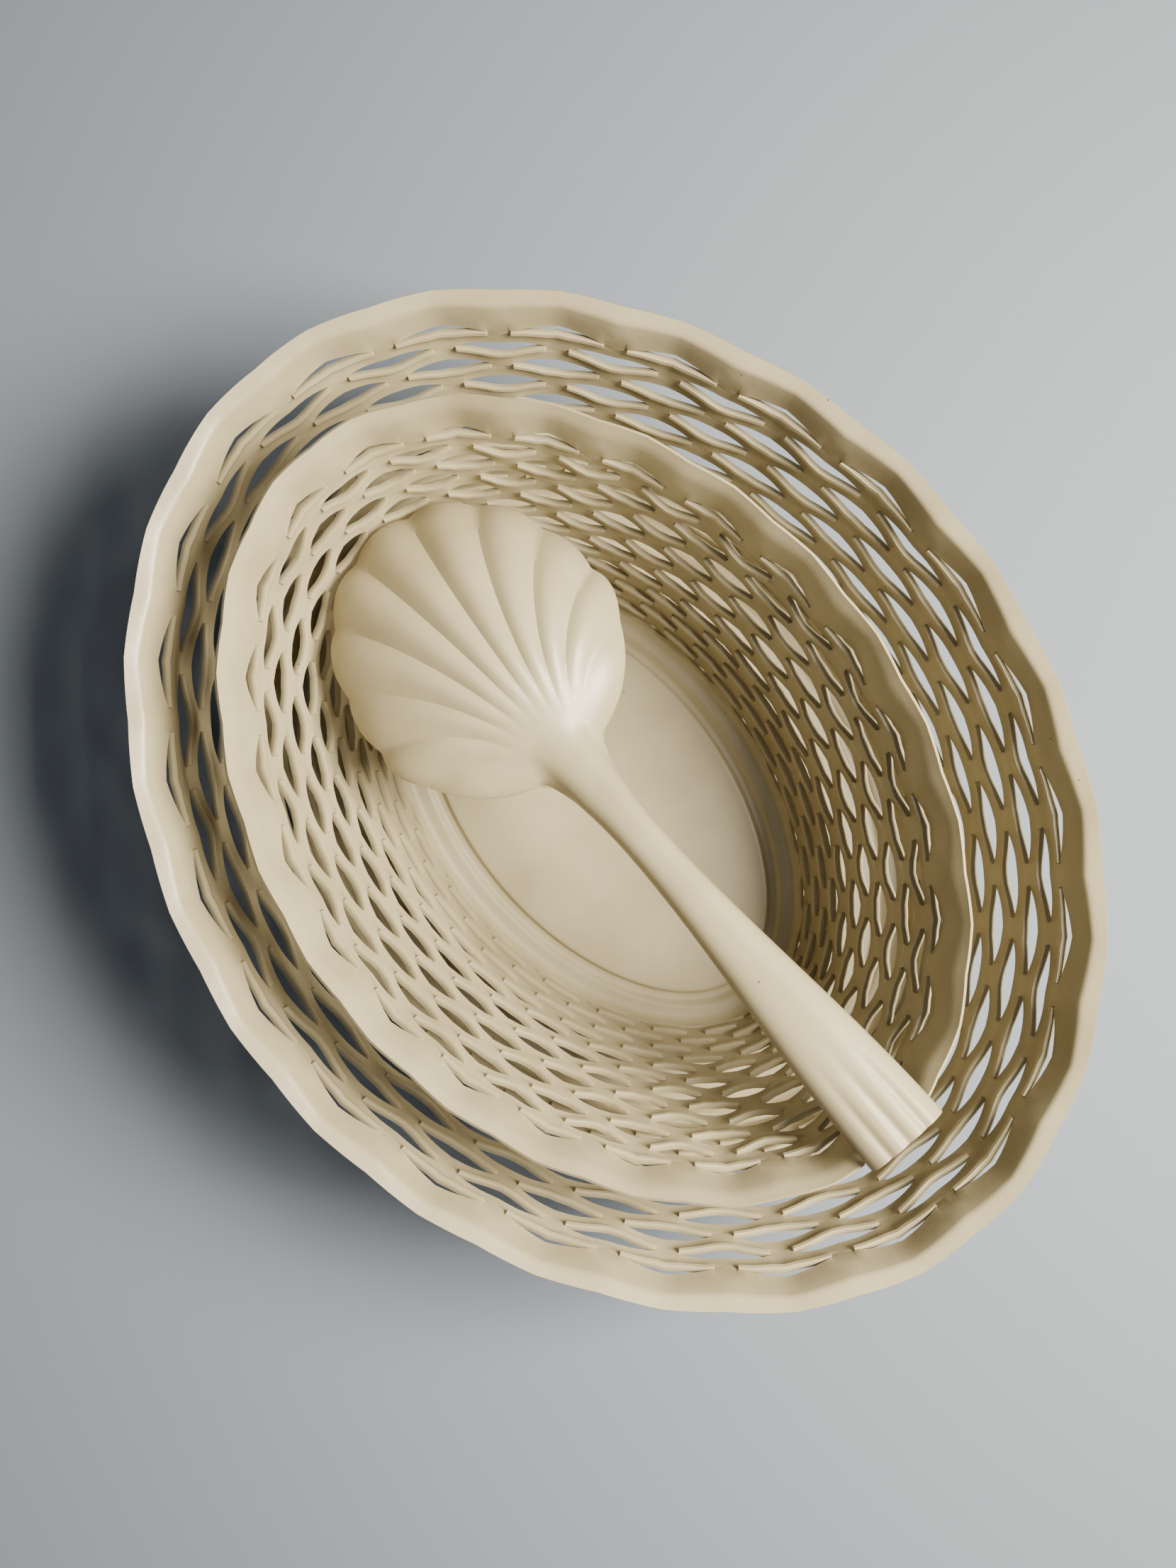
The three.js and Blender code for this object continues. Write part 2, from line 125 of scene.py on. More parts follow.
@dataclass(frozen=True)
class PowderCoat:
    """Polyester powder coat baked on pressed steel, satin.

    The powder melts to a skin that pulls into fine, shallow waves, called orange peel. It is a
    little glossier on the crests of the waves, and dust under the coat shows as tiny dark specks.
    """

    name: str
    base: str = "a89d7c"  # the coat where it is thick
    thin: str = "9e9271"  # where it has run thin, a little darker and warmer
    speck: str = "5b4c34"  # dust caught in the coat
    roughness: float = 0.36
    roughness_swing: float = 0.10
    peel_mm: float = 0.75  # the waves of the skin; drawn about twice as wide as they are, to show
    peel_depth_mm: float = 0.032
    ripple_mm: float = 9.0  # slow unevenness of the sheet under the coat
    ripple_depth_mm: float = 0.035
    cloud_mm: float = 24.0
    speck_pitch_mm: float = 13.0
    speck_radius: float = 0.022  # of the pitch
    specular: float = 0.5

    def material(self) -> bpy.types.Material:
        """Builds the node material.

        Returns:
            The material, ready to assign.
        """
        made = bpy.data.materials.new(self.name)
        made.use_nodes = True
        tree = made.node_tree
        tree.nodes.clear()
        place = add_node(tree, "ShaderNodeTexCoord").outputs["Object"]

        clouds = add_node(
            tree, "ShaderNodeTexNoise",
            {"Scale": 1 / (self.cloud_mm * MM), "Detail": 3.0, "Roughness": 0.55},
            {"Vector": place},
        )
        coat = add_node(
            tree, "ShaderNodeMix",
            {".data_type": "RGBA", 6: linear(self.base), 7: linear(self.thin)},
            {0: self.ramp(tree, clouds.outputs["Fac"], 0.42, 0.72)},
        )
        specks = add_node(
            tree, "ShaderNodeTexVoronoi",
            {"Scale": 1 / (self.speck_pitch_mm * MM), "Randomness": 1.0},
            {"Vector": place},
        )
        near = add_node(
            tree, "ShaderNodeMath", {".operation": "LESS_THAN", 1: self.speck_radius},
            {0: specks.outputs["Distance"]},
        )
        speckled = add_node(
            tree, "ShaderNodeMix", {".data_type": "RGBA", 7: linear(self.speck)},
            {0: near.outputs[0], 6: coat.outputs[2]},
        )

        peel = add_node(
            tree, "ShaderNodeTexNoise",
            {"Scale": 1 / (self.peel_mm * MM), "Detail": 2.0, "Roughness": 0.5},
            {"Vector": place},
        )
        ripple = add_node(
            tree, "ShaderNodeTexNoise", {"Scale": 1 / (self.ripple_mm * MM), "Detail": 1.0},
            {"Vector": place},
        )
        slow = add_node(
            tree, "ShaderNodeBump", {"Strength": 1.0, "Distance": self.ripple_depth_mm * MM},
            {"Height": ripple.outputs["Fac"]},
        )
        fine = add_node(
            tree, "ShaderNodeBump", {"Strength": 1.0, "Distance": self.peel_depth_mm * MM},
            {"Height": peel.outputs["Fac"], "Normal": slow.outputs["Normal"]},
        )
        gloss = add_node(
            tree, "ShaderNodeMapRange",
            {3: self.roughness + self.roughness_swing, 4: self.roughness - self.roughness_swing},
            {0: peel.outputs["Fac"]},
        )
        shader = add_node(
            tree, "ShaderNodeBsdfPrincipled",
            {"IOR": 1.5, "Specular IOR Level": self.specular},
            {
                "Base Color": speckled.outputs[2],
                "Roughness": gloss.outputs[0],
                "Normal": fine.outputs["Normal"],
            },
        )
        add_node(tree, "ShaderNodeOutputMaterial", links={"Surface": shader.outputs["BSDF"]})
        return made

    @staticmethod
    def ramp(
        tree: bpy.types.NodeTree, socket: bpy.types.NodeSocket, low: float, high: float
    ) -> bpy.types.NodeSocket:
        """Stretches a stretch of a texture's values to run from nought to one.

        Args:
            tree: The node tree.
            socket: The texture's output.
            low: The value that becomes nought.
            high: The value that becomes one.

        Returns:
            The output socket of the stretched values.
        """
        return add_node(tree, "ShaderNodeMapRange", {1: low, 2: high}, {0: socket}).outputs[0]


@dataclass(frozen=True)
class Plaster:
    """A plain matt surface for the floor."""

    name: str
    colour: str = "7a828b"
    roughness: float = 0.9

    def material(self) -> bpy.types.Material:
        """Builds the floor's material.

        Returns:
            The material, ready to assign.
        """
        made = bpy.data.materials.new(self.name)
        made.use_nodes = True
        tree = made.node_tree
        tree.nodes.clear()
        place = add_node(tree, "ShaderNodeTexCoord").outputs["Object"]
        grain = add_node(
            tree, "ShaderNodeTexNoise", {"Scale": 60.0, "Detail": 4.0}, {"Vector": place}
        )
        relief = add_node(
            tree, "ShaderNodeBump", {"Strength": 0.15, "Distance": 0.2 * MM},
            {"Height": grain.outputs["Fac"]},
        )
        shader = add_node(
            tree, "ShaderNodeBsdfPrincipled",
            {"Base Color": linear(self.colour), "Roughness": self.roughness},
            {"Normal": relief.outputs["Normal"]},
        )
        add_node(tree, "ShaderNodeOutputMaterial", links={"Surface": shader.outputs["BSDF"]})
        return made


# ---- sheet metal --------------------------------------------------------------------------------


@dataclass(frozen=True)
class Sheet:
    """The sheet that every piece is pressed from."""

    thickness: float = 1.0  # steel with its coat, mm
    crease: float = math.radians(38)  # edges sharper than this are shaded as corners

    def blank(self, columns: int, rows: int) -> tuple[bmesh.types.BMesh, list[list]]:
        """Makes a flat blank as a grid.

        Args:
            columns: Panels across.
            rows: Panels down.

        Returns:
            The bmesh, and its vertices as a list of rows from the top, each from left to right.
        """
        bm = bmesh.new()
        for kind, name in ((bm.verts.layers.int, "row"), (bm.verts.layers.int, "column")):
            kind.new(name)
        bm.verts.layers.float_vector.new("through")
        bmesh.ops.create_grid(bm, x_segments=columns, y_segments=rows, size=1.0)
        ordered = sorted(bm.verts, key=lambda v: (round(-v.co.y, 6), round(v.co.x, 6)))
        wide = columns + 1
        return bm, [ordered[i * wide : (i + 1) * wide] for i in range(rows + 1)]

    def thicken(self, bm: bmesh.types.BMesh, through: bmesh.types.BMLayerItem) -> None:
        """Gives a middle surface the sheet's thickness, half to each side.

        Args:
            bm: The middle surface.
            through: The vertex layer that holds the direction through the sheet.
        """
        half = self.thickness / 2 * MM
        first = set(bm.verts)
        bmesh.ops.extrude_face_region(bm, geom=bm.faces[:], use_keep_orig=True)
        for v in bm.verts:
            v.co += v[through] * (-half if v in first else half)

    def finish(self, bm: bmesh.types.BMesh, name: str) -> bpy.types.Object:
        """Turns a closed bmesh to an object with smooth faces and crisp corners.

        Args:
            bm: The closed mesh, freed here.
            name: The object's name.

        Returns:
            The object, linked to the scene.
        """
        bmesh.ops.recalc_face_normals(bm, faces=bm.faces[:])
        for face in bm.faces:
            face.smooth = True
        for edge in bm.edges:
            edge.smooth = edge.is_manifold and edge.calc_face_angle(0.0) < self.crease
        mesh = bpy.data.meshes.new(name)
        bm.to_mesh(mesh)
        bm.free()
        made = bpy.data.objects.new(name, mesh)
        bpy.context.scene.collection.objects.link(made)
        return made


def smoothstep(low: float, high: float, x: np.ndarray | float) -> np.ndarray | float:
    """Runs from nought to one between two values with level ends."""
    t = np.clip((x - low) / (high - low), 0.0, 1.0)
    return t * t * (3 - 2 * t)


# ---- baskets ------------------------------------------------------------------------------------


@dataclass(frozen=True)
class SlitPattern:
    """The slits of a basket's wall. Shares are of the pitch from one slit to the next."""

    per_ring: int = 24
    bond_length: float = 6.4  # stays joined between two slits of a ring, mm
    opening: float = 4.0  # a drawn slit's height where the wall is drawn most, mm
    lead: float = 0.12  # the opening follows a half sine down the wall, and starts this early
    span: float = 0.84  # and ends after this share of the wall
    flank_spread: float = 0.5  # how much longer slits stay on the flanks than at the ends
    lip_profile: tuple[tuple[float, float, float, float], ...] = (
        (0.0, 0.95, -0.75, 104.0), (0.35, 0.50, 0.0, 100.0), (0.62, 0.05, 0.75, 84.0),
        (0.95, -0.15, 1.15, 42.0), (1.5, 0.0, 1.15, -4.0), (2.6, 0.0, 0.4, -18.0),
    )  # distance down from the slit, then the fold's drop and its lift into the basket, mm, and
    # how far the sheet turns there, degrees
    lip_end: float = 0.45  # length of the lip's abrupt end, mm
    lip_shoulder: float = 0.6  # of half a bond: where the lip's side starts to draw open
    lip_bow: float = 1.15  # one draws the lip's side open in two straight runs, two in a bow
    least_strand: float = 3.0  # a strand is never taken as narrower, mm
    outboard_sink: float = 1.15  # how far the outboard side draws out at a slit's middle, mm

    def sunk(self, offset: np.ndarray, end: float) -> np.ndarray:
        """How the outboard side draws out along a slit: one at its middle, nought from its end."""
        return np.cos(math.pi / 2 * np.clip(offset / end, 0, 1))

    def offsets(self, bond: float, end: float) -> list[float]:
        """The stations of one pitch, from a bond's middle of the first ring to the next one's.

        Args:
            bond: The bond's share of the pitch.
            end: The lip's end's share of the pitch.

        Returns:
            Rising shares from nought to below one.
        """
        corner = bond / 2
        quarter = [0.0, corner, corner + end, 0.5 * (corner + end + 0.25), 0.25]
        half = [*quarter, *[0.5 - q for q in reversed(quarter[:-1])]]
        return [*half[:-1], *[1 - h for h in reversed(half)][:-1]]

    def stations(self, pitch: float) -> np.ndarray:
        """All stations round a ring, in pitches.

        Args:
            pitch: The mean pitch on that ring, mm.

        Returns:
            Rising stations from nought to the number of slits.
        """
        one = self.offsets(self.bond_length / pitch, self.lip_end / pitch)
        return np.array([i + p for i in range(self.per_ring) for p in one])

    def from_slit(self, station: np.ndarray, ring: int) -> np.ndarray:
        """Each station's distance from the nearest slit's middle; rings are staggered."""
        phase = station + (0.5 if ring % 2 == 0 else 0.0)
        return np.abs(phase - np.round(phase))

    def open_at(self, share: float) -> float:
        """How far a ring's slits open, by the ring's share of the way down the wall."""
        phase = math.pi * (share + self.lead) / self.span
        return self.opening * math.sin(phase) if phase < math.pi else 0.0


@dataclass
class ProfileRow:
    """One ring of a basket's blank.

    Attributes:
        inset: In from the rim's edge, mm.
        z: Height, mm.
        tilt: The wall's lean from upright, radians; a quarter turn on the floor.
        upper: The ring of slits at or above it, or None.
        lower: The ring of slits below it, or None.
        share: Its share of the way across the strand between the two.
        slit: The ring of slits that is cut along it, or None.
        lip: How far the lip lifts it into the basket within a slit's length, mm.
        drop: How far the lip sets it down the wall there, mm.
        turn: How far the lip turns the sheet there, radians.
    """

    inset: float
    z: float
    tilt: float
    upper: int | None = None
    lower: int | None = None
    share: float = 0.0
    slit: int | None = None
    lip: float = 0.0
    drop: float = 0.0
    turn: float = 0.0


@dataclass
class Basket:
    """A drawn oval basket. The sizes are those of the frame's basket of the same name."""

    node: str
    body: Body
    slot: Slot
    length: float
    width: float
    height: float
    flare_run: float
    flare_drop: float
    band_height: float
    wall_lean: float
    slit_rings: int
    flare_round: float  # how softly the edge strip turns into the wall, mm along the sheet
    place: Matrix = field(default_factory=lambda: Matrix.Identity(4))
    pattern: SlitPattern = field(default_factory=SlitPattern)
    sheet: Sheet = field(default_factory=Sheet)
    corner_radius: float = 4.5
    ledge: float = 2.2
    foot_depth: float = 1.5
    foot_slope: float = 3.0
    foot_flat: float = 1.4
    foot_step: float = 1.6
    flank_ease: float = 0.0125
    pleat: float = 0.45
    pleat_swell: float = 0.75  # how much deeper the pleats are where the band meets the slits, mm
    pleat_settle: float = 5.0  # the inset past the first ring over which that dies out, mm
    allowance: float = 0.12  # keeps the pleats' ridges within the solid's outline
    oval_samples: int = 2880

    @property
    def lean(self) -> float:
        """The wall's lean from upright."""
        return math.atan(self.wall_lean)

    @property
    def foot_z(self) -> float:
        """The middle of the sheet on the foot ring's flat."""
        return self.sheet.thickness / 2

    @property
    def floor_z(self) -> float:
        """The middle of the floor's sheet, above the foot ring's flat."""
        return self.foot_z + self.foot_depth

    @property
    def corner_length(self) -> float:
        """From where the wall starts to turn to where it would meet the floor."""
        return self.corner_radius * math.tan((math.pi / 2 - self.lean) / 2)

    @property
    def first_z(self) -> float:
        """The height of the first ring of slits."""
        return self.height - self.flare_drop - self.band_height

    @property
    def first_inset(self) -> float:
        """The inset of the first ring of slits."""
        return self.flare_run + self.band_height * self.wall_lean

    @property
    def wall_length(self) -> float:
        """From the first ring of slits to the start of the corner, along the wall."""
        return (self.first_z - self.floor_z) / math.cos(self.lean) - self.corner_length

    def on_wall(self, down: float) -> tuple[float, float]:
        """The inset and height at a distance down the wall from the first ring."""
        inset = self.first_inset + down * math.sin(self.lean)
        return inset, self.first_z - down * math.cos(self.lean)

    def openings(self) -> list[float]:
        """How far each ring's slits open."""
        last = self.slit_rings - 1
        return [self.pattern.open_at(i / last) for i in range(self.slit_rings)]

    def ring_places(self) -> list[float]:
        """Each ring's distance down the wall: equal strands, and the openings between them."""
        opened = self.openings()
        steps = [(a + b) / 4 for a, b in zip(opened, opened[1:])]
        strand = (self.wall_length - sum(steps)) / (self.slit_rings - 1)
        return [0.0, *np.cumsum([strand + s for s in steps]).tolist()]

    def rim_rows(self) -> list[ProfileRow]:
        """The edge strip, its turn into the wall and the plain band above the slits."""
        run, drop = self.flare_run, self.flare_drop
        flare = math.atan2(run, drop)
        strip = math.hypot(run, drop)
        turn = min(self.flare_round, strip * 0.8)
        rows = [ProfileRow(0.0, self.height, flare)]
        for back in (strip * 0.55, strip - turn / 2):
            if back < strip:
                down = drop * back / strip
                rows.append(ProfileRow(run * back / strip, self.height - down, flare))
        # The crease is an arc that leaves the strip and joins the wall, half a turn each side.
        left = 1 - turn / 2 / strip
        strip_end = Vector((run * left, self.height - drop * left))
        wall_start = Vector((
            run + turn / 2 * math.sin(self.lean),
            self.height - drop - turn / 2 * math.cos(self.lean),
        ))
        crease = Vector((run, self.height - drop))
        for t in (0.33, 0.67, 1.0):
            p = strip_end * (1 - t) ** 2 + crease * 2 * t * (1 - t) + wall_start * t * t
            rows.append(ProfileRow(p.x, p.y, flare + (self.lean - flare) * t))
        for share in (0.35, 0.7):
            z = wall_start.y + (self.first_z - wall_start.y) * share
            inset = wall_start.x + (wall_start.y - z) * self.wall_lean
            rows.append(ProfileRow(inset, z, self.lean, None, 0, share**2))
        return rows

    def wall_rows(self) -> list[ProfileRow]:
        """The slit rings and the strands between them."""
        places = self.ring_places()
        rows: list[ProfileRow] = []
        for ring, down in enumerate(places):
            last = ring == self.slit_rings - 1
            below = None if last else ring + 1
            end = self.wall_length if last else places[ring + 1]
            half = self.openings()[ring] / 2
            strand = max(end - down - half, self.pattern.least_strand)
            for width, drop, lip, turn in self.pattern.lip_profile[: 1 if last else None]:
                place = self.on_wall(down + width)
                row = ProfileRow(*place, self.lean, ring, below, width / strand)
                row.slit = ring if width == 0 else None
                if not last:
                    row.lip, row.drop, row.turn = lip, drop, math.radians(turn)
                rows.append(row)
            if last:
                continue
            root = self.pattern.lip_profile[-1][0] / strand
            for share in (0.6 * root + 0.4, 0.2 * root + 0.8):
                place = self.on_wall(down + share * strand)
                rows.append(ProfileRow(*place, self.lean, ring, below, share))
        return rows

    def foot_rows(self) -> list[ProfileRow]:
        """The corner below the wall, the ledge, the foot ring and the floor."""
        level = math.pi / 2
        start = self.on_wall(self.wall_length)
        flat = start[0] + self.corner_length * (1 + math.sin(self.lean))
        rows = []
        for step in range(1, 7):
            tilt = self.lean + (level - self.lean) * step / 6
            inset = flat - self.corner_radius * math.cos(tilt)
            z = self.floor_z + self.corner_radius * (1 - math.sin(tilt))
            rows.append(ProfileRow(inset, z, tilt))
        ring = flat + self.ledge
        rows.append(ProfileRow(ring - self.ledge * 0.3, self.floor_z, level))
        for start_at, width, high, low, steps in (
            (ring, self.foot_slope, self.floor_z, self.foot_z, 7),
            (ring + self.foot_slope + self.foot_flat, self.foot_step, self.foot_z, self.floor_z, 6),
        ):
            for step in range(steps + 1):
                share = step / steps
                eased = float(smoothstep(0.0, 1.0, share))
                z = high + (low - high) * eased
                rows.append(ProfileRow(start_at + share * width, z, level))
        floor = rows[-1].inset
        rows.append(ProfileRow(floor + 1.0, self.floor_z, level))
        reach = self.width / 2 - floor
        for share in (0.3, 0.65, 0.97):
            rows.append(ProfileRow(floor + reach * share, self.floor_z, level))
        return rows

    def rows(self) -> list[ProfileRow]:
        """The whole profile from the rim's edge to near the floor's centre."""
        return [*self.rim_rows(), *self.wall_rows(), *self.foot_rows()]

    def plan(self, inset: float) -> tuple[np.ndarray, np.ndarray, np.ndarray]:
        """The plan's oval at an inset from the rim.

        Args:
            inset: In from the rim's edge, mm.

        Returns:
            Points round the oval, the length along it to each, and its half axes.
        """
        axes = np.array([self.length, self.width]) / 2 - self.sheet.thickness / 2 - inset
        axes = np.maximum(axes, 0.01)
        angle = np.linspace(0, 2 * math.pi, self.oval_samples + 1)
        ease = 1 - self.flank_ease * np.sin(2 * angle) ** 2
        line = np.column_stack([axes[0] * np.cos(angle) * ease, axes[1] * np.sin(angle) * ease])
        return line, np.concatenate([[0.0], np.cumsum(np.hypot(*np.diff(line, axis=0).T))]), axes

    def holds(self, point: Vector, gap: float) -> bool:
        """Tells whether a point keeps clear of the wall.

        Args:
            point: The point in the basket's frame, mm.
            gap: The least distance from the middle of the wall's sheet.
        """
        inset = self.first_inset + (self.first_z - point.z) * self.wall_lean + gap
        x, y = point.x / (self.length / 2 - inset), point.y / (self.width / 2 - inset)
        return math.hypot(x, y) <= 1 - self.flank_ease * math.sin(2 * math.atan2(y, x)) ** 2

    def stations(self, row: ProfileRow) -> np.ndarray:
        """The stations of a row, in pitches. Inside the wall they stay as at the wall's end."""
        wall_end = self.on_wall(self.wall_length)[0]
        pitch = self.plan(min(row.inset, wall_end))[1][-1] / self.pattern.per_ring
        return self.pattern.stations(pitch)

    def oval(self, row: ProfileRow, stations: np.ndarray) -> tuple[np.ndarray, np.ndarray]:
        """Points of the plan at one row, and outward directions.

        Args:
            row: The row of the profile.
            stations: The stations in pitches.

        Returns:
            The plan's points and unit outward directions, in millimetres.
        """
        line, run, axes = self.plan(row.inset)
        share = stations / self.pattern.per_ring
        spread = self.pattern.flank_spread * row.inset / (self.width / 2)
        share = share - spread * np.sin(4 * math.pi * share) / (4 * math.pi)
        points = np.stack([np.interp(share * run[-1], run, line[:, k]) for k in (0, 1)], axis=1)
        outward = points / axes**2
        return points, outward / np.linalg.norm(outward, axis=1, keepdims=True)

    def drawn(self, offset: np.ndarray, bond: float, opening: float, smooth: bool) -> np.ndarray:
        """How far one side of a slit moves from the slit's line.

        Args:
            offset: Distance from the slit's middle in pitches.
            bond: The bond's share of the pitch.
            opening: The ring's full opening, mm.
            smooth: Whether the side is a smooth bow, as the outboard one is, or keeps the
                corners of the bonds, as the lip does.

        Returns:
            The distances in millimetres, nought from the slit's ends outward.
        """
        end = 0.5 - bond / 2
        if smooth:
            return opening / 2 * (1 - np.clip(offset / end, 0, 1) ** 2.0)
        shoulder = bond / 2 * self.pattern.lip_shoulder
        along = np.clip((offset - shoulder) / (end - shoulder), 0, 1)
        return opening / 2 * (1 - along**self.pattern.lip_bow)

    def pleated(self, row: ProfileRow, offset: np.ndarray) -> np.ndarray:
        """How far the pleats move a row outward.

        Args:
            row: The row of the profile.
            offset: Distance from the middle of a slit of the first ring, in pitches.

        Returns:
            The distances in millimetres.
        """
        fade = max(row.z / self.height, 0.0)
        first = self.first_inset
        settled = smoothstep(first, first + self.pleat_settle, row.inset)
        swell = smoothstep(0.0, first, row.inset) * (1 - settled)
        depth = self.pleat * fade + self.pleat_swell * swell
        return depth * (1 - 4 * offset) - self.allowance * fade

    def formed(self, row: ProfileRow, side: int) -> tuple[np.ndarray, np.ndarray]:
        """The drawn shape of one row of the blank.

        Args:
            row: The row of the profile.
            side: On a slit's line, -1 for its outboard side and 1 for its lip; else 0.

        Returns:
            Points of the middle surface and directions through the sheet, in millimetres.
        """
        stations = self.stations(row)
        points, outward = self.oval(row, stations)
        openings = self.openings()
        pattern = self.pattern
        bond = 2 * stations[1]
        end = 0.5 - bond / 2
        pull, push, lift, folded = (np.zeros(len(stations)) for _ in range(4))
        upper, lower, share = row.upper, row.lower, row.share
        if side < 0:
            upper, lower, share = row.slit - 1 if row.slit else None, row.slit, 1.0
        if upper is not None:
            offset = pattern.from_slit(stations, upper)
            pull = self.drawn(offset, bond, openings[upper], False)
            lift -= (1 - share) * pattern.outboard_sink / 2 * pattern.sunk(0.5 - offset, end)
            if side >= 0:
                folded = (offset < end - 1e-6).astype(float)
                lift += row.lip * folded
        if lower is not None:
            offset = pattern.from_slit(stations, lower)
            push = self.drawn(offset, bond, openings[lower], True)
            beside = 0.5 * pattern.sunk(0.5 - offset, end) * (lower > 0)
            drawn_out = pattern.sunk(offset, end) + beside
            lift -= share * pattern.outboard_sink * drawn_out * (0.5 if lower == 0 else 1.0)
        along = (1 - share) * pull - share * push + row.drop * folded
        pleat = self.pleated(row, pattern.from_slit(stations, 0))
        radial = pleat - along * math.sin(row.tilt) - lift * math.cos(row.tilt)
        flat = points + outward * radial[:, None]
        z = row.z - along * math.cos(row.tilt) + lift * math.sin(row.tilt)
        faces = row.tilt + row.turn * folded
        through = np.column_stack([-outward * np.cos(faces)[:, None], np.sin(faces)])
        return np.column_stack([flat, z]), through

    def build(self) -> bpy.types.Object:
        """Slits, draws and thickens the blank.

        Returns:
            The basket's object, dressed in nothing yet.
        """
        rows = self.rows()
        count = len(self.stations(rows[0]))
        bm, grid = self.sheet.blank(count, len(rows) - 1)
        ring_of = bm.verts.layers.int["row"]
        column_of = bm.verts.layers.int["column"]
        through = bm.verts.layers.float_vector["through"]
        for i, line in enumerate(grid):
            for j, v in enumerate(line):
                angle = 2 * math.pi * (j % count) / count
                v[ring_of], v[column_of] = i, j % count
                v.co = (math.cos(angle), math.sin(angle), -float(i))
        bmesh.ops.remove_doubles(bm, verts=[line[k] for line in grid for k in (0, -1)], dist=1e-7)
        self.cut_slits(bm, rows, ring_of, column_of)

        formed = {
            (i, side): self.formed(row, side)
            for i, row in enumerate(rows)
            for side in ((-1, 1) if row.slit is not None else (0,))
        }
        for v in bm.verts:
            i, j = v[ring_of], v[column_of]
            side = 0
            if rows[i].slit is not None:
                side = -1 if all(min(w[ring_of] for w in f.verts) < i for f in v.link_faces) else 1
            place, direction = formed[i, side]
            v.co = Vector(place[j]) * MM
            v[through] = Vector(direction[j])
        last = [v for v in bm.verts if v[ring_of] == len(rows) - 1]
        cap = bmesh.ops.contextual_create(bm, geom=last)["faces"]
        if cap:
            bmesh.ops.poke(bm, faces=cap)
            for v in bm.verts:
                if v[through].length < 0.5:
                    v[through] = Vector((0, 0, 1))
        self.sheet.thicken(bm, through)
        bmesh.ops.transform(bm, matrix=self.place, verts=bm.verts[:])
        return self.sheet.finish(bm, f"{self.node}_pressing")

    def cut_slits(
        self,
        bm: bmesh.types.BMesh,
        rows: list[ProfileRow],
        ring_of: bmesh.types.BMLayerItem,
        column_of: bmesh.types.BMLayerItem,
    ) -> None:
        """Splits the blank along every slit.

        Args:
            bm: The blank, closed to a ring.
            rows: The profile's rows.
            ring_of: The vertex layer with each vertex's row.
            column_of: The vertex layer with each vertex's station.
        """
        stations = self.stations(rows[0])
        end, count = 0.5 - stations[1], len(stations)
        slit_edges = []
        for edge in bm.edges:
            a, b = edge.verts
            row = rows[a[ring_of]]
            if a[ring_of] != b[ring_of] or row.slit is None:
                continue
            first, second = sorted((a[column_of], b[column_of]))
            low, high = stations[first], stations[second]
            if second - first == count - 1:
                low, high = high, low + self.pattern.per_ring
            if self.pattern.from_slit(np.array([(low + high) / 2]), row.slit)[0] < end:
                slit_edges.append(edge)
        bmesh.ops.split_edges(bm, edges=slit_edges)

    def dress(self, made: bpy.types.Object, coat: bpy.types.Material) -> None:
        """Coats the basket and hands it to its body."""
        made.data.materials.append(coat)
        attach(made, self.body.value)
        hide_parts(self.node)


# ---- ladle --------------------------------------------------------------------------------------


